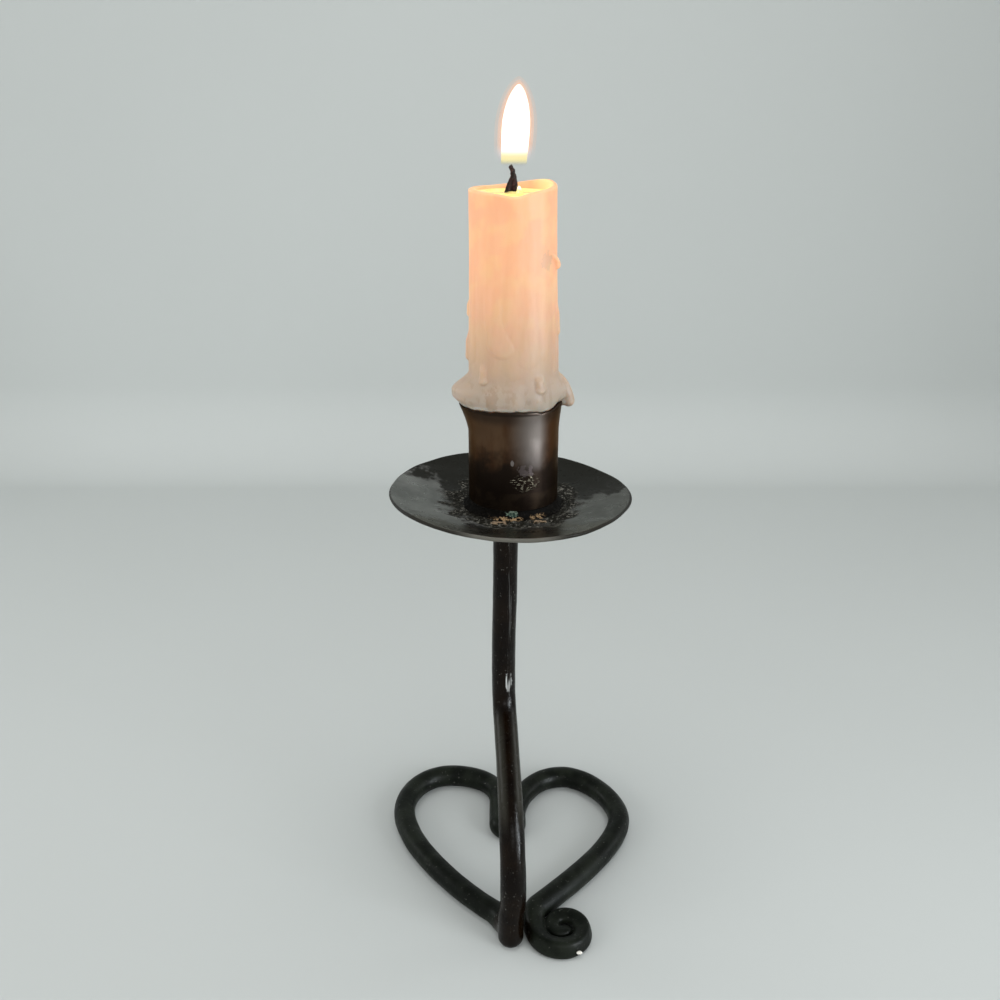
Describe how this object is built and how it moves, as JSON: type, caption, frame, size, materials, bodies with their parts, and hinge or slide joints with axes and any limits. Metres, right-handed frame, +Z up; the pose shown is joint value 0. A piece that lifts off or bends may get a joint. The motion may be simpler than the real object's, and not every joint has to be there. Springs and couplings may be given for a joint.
{
  "type": "taper candle holder",
  "caption": "Forged round-bar candle holder: heart-shaped base with a scroll, S-shaped stem, round drip pan and flared tube cup, holding a lit dinner candle.",
  "frame": {"origin": "middle of the whole part's outline seen from above, on the table that the heart lies on", "axes": "+Z up along the stem and the candle; +Y from the heart's point and the stem's foot to the heart's lobes at the back; +X to the right, the side of the scroll"},
  "size_m": [0.088, 0.0936, 0.2564],
  "materials": {
    "forged_steel": "satin",
    "pan_steel": "satin",
    "cup_steel": "satin",
    "braze": "satin",
    "wax": "satin",
    "charred_wick": "matte",
    "liquid_wax": "gloss",
    "flame": "matte"
  },
  "bodies": {
    "holder": {"forged_bar": "forged_steel", "drip_pan": "pan_steel", "candle_cup": "cup_steel", "braze_bead": "braze"},
    "candle": {"candle": "wax", "wick": "charred_wick", "melt_pool": "liquid_wax", "flame": "flame"}
  },
  "joints": [
    {"name": "candle_lift", "type": "slide", "parent": "holder", "child": "candle", "axis": [0, 0, 1], "range_m": [0, 0.045]}
  ]
}
